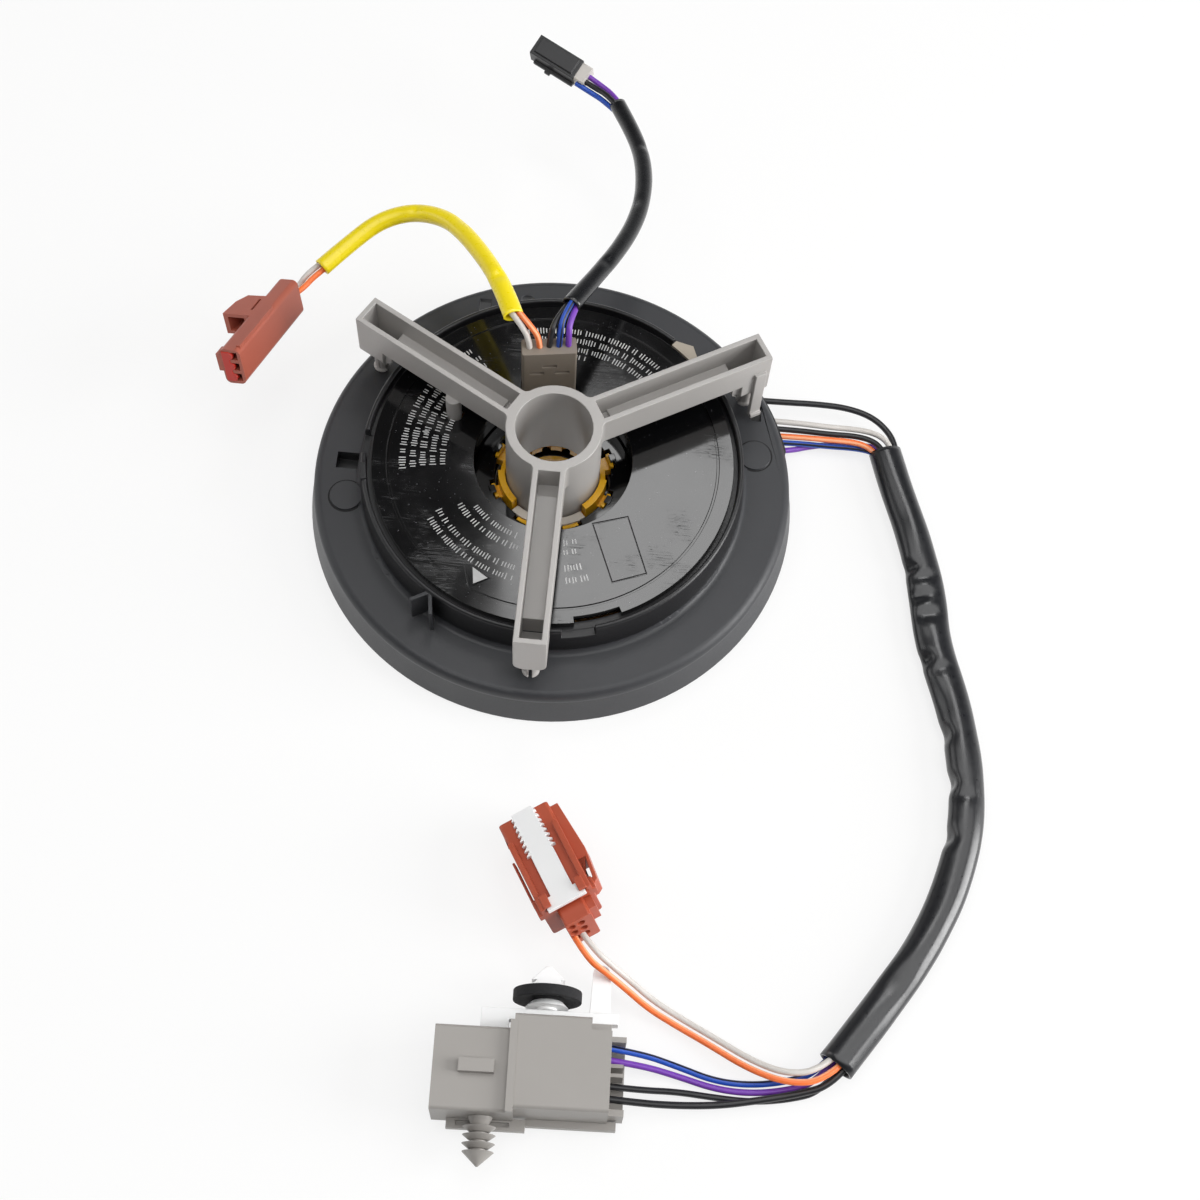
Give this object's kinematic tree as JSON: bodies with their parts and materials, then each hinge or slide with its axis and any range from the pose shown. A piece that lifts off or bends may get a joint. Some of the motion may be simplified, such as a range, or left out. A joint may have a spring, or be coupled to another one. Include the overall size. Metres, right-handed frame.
{
  "type": "steering clock spring",
  "caption": "Round cassette with a flat cable between a turning hub and a fixed housing, three-armed transport lock, sleeved leads and connectors.",
  "frame": {"origin": "on the rotation axis, in the plane that the skirt stands on", "axes": "+Z along the rotation axis towards the steering wheel; -Y towards the side where the harness connectors lie"},
  "size_m": [0.192, 0.2875, 0.0471],
  "materials": {
    "housing_grey": "moulded, fine texture",
    "rotor_black": "moulded, polished",
    "lock_grey": "moulded, satin",
    "beige_plastic": "moulded, matt",
    "yellow_plastic": "moulded",
    "cream_plastic": "moulded",
    "spring_steel": "drawn wire",
    "slip_film": "film",
    "ribbon": "laminated",
    "maroon_plastic": "moulded",
    "red_plastic": "moulded",
    "black_plastic": "moulded",
    "pale_grey_plastic": "moulded",
    "brown_plastic": "moulded",
    "connector_grey": "moulded",
    "white_plastic": "moulded",
    "black_foam": "cut foam",
    "contact_metal": "stamped, tinned",
    "wire_white": "extruded",
    "wire_orange": "extruded",
    "wire_purple": "extruded",
    "wire_blue": "extruded",
    "wire_black": "extruded",
    "sleeve_black": "extruded tube",
    "sleeve_yellow": "extruded tube"
  },
  "bodies": {
    "housing": {"outer_housing": "housing_grey", "base_cover": "housing_grey", "lead_exit_block": "black_plastic", "slip_film": "slip_film", "ribbon_cable": "ribbon", "ribbon_terminal": "beige_plastic", "exit_wire_black_outer": "wire_black", "exit_wire_white": "wire_white", "exit_wire_black_inner": "wire_black", "exit_wire_orange": "wire_orange", "exit_wire_blue": "wire_blue", "exit_wire_purple": "wire_purple", "harness_sleeve": "sleeve_black", "lower_wire_blue": "wire_blue", "lower_wire_purple": "wire_purple", "lower_wire_black_thin": "wire_black", "lower_wire_black_heavy": "wire_black", "lower_wire_orange": "wire_orange", "lower_wire_white": "wire_white", "column_connector": "brown_plastic", "column_connector_rear": "brown_plastic", "column_contacts": "contact_metal", "column_clip": "white_plastic", "body_connector": "connector_grey", "body_contacts": "contact_metal", "connector_bracket": "white_plastic", "foam_washer": "black_foam", "arrow_clip": "white_plastic", "fir_tree_fastener": "connector_grey"},
    "rotor": {"rotor_hub": "rotor_black", "rotor_disc": "rotor_black", "rotor_plug": "beige_plastic", "retainer_ring": "rotor_black", "lock_spring": "spring_steel", "inner_terminal": "beige_plastic", "yellow_sleeve": "sleeve_yellow", "black_sleeve": "sleeve_black", "plug_wire_white": "wire_white", "plug_wire_orange": "wire_orange", "plug_wire_black": "wire_black", "plug_wire_blue": "wire_blue", "plug_wire_purple": "wire_purple", "airbag_wire_orange": "wire_orange", "airbag_wire_white": "wire_white", "switch_wire_purple": "wire_purple", "switch_wire_black": "wire_black", "switch_wire_blue": "wire_blue", "airbag_connector": "maroon_plastic", "airbag_connector_lock": "red_plastic", "airbag_contacts": "contact_metal", "switch_connector": "black_plastic", "switch_connector_rear": "pale_grey_plastic", "switch_contacts": "contact_metal"},
    "lock_ring": {"lock_ring": "yellow_plastic", "lock_ring_cap": "cream_plastic"},
    "shipping_lock": {"shipping_lock": "lock_grey"}
  },
  "joints": [
    {"name": "rotor_turn", "type": "hinge", "parent": "housing", "child": "rotor", "pos_m": [0, 0, 0.02], "axis": [0, 0, 1], "range_deg": [-990, 990], "deforming": ["ribbon_cable"]},
    {"name": "lock_ring_press", "type": "slide", "parent": "rotor", "child": "lock_ring", "axis": [0, 0, -1], "range_m": [0, 0.0022], "stiffness_N_per_m": 400, "springref_m": -0.004, "deforming": ["lock_spring"]},
    {"name": "shipping_lock_lift", "type": "slide", "parent": "rotor", "child": "shipping_lock", "axis": [0, 0, 1], "range_m": [0, 0.045]}
  ]
}
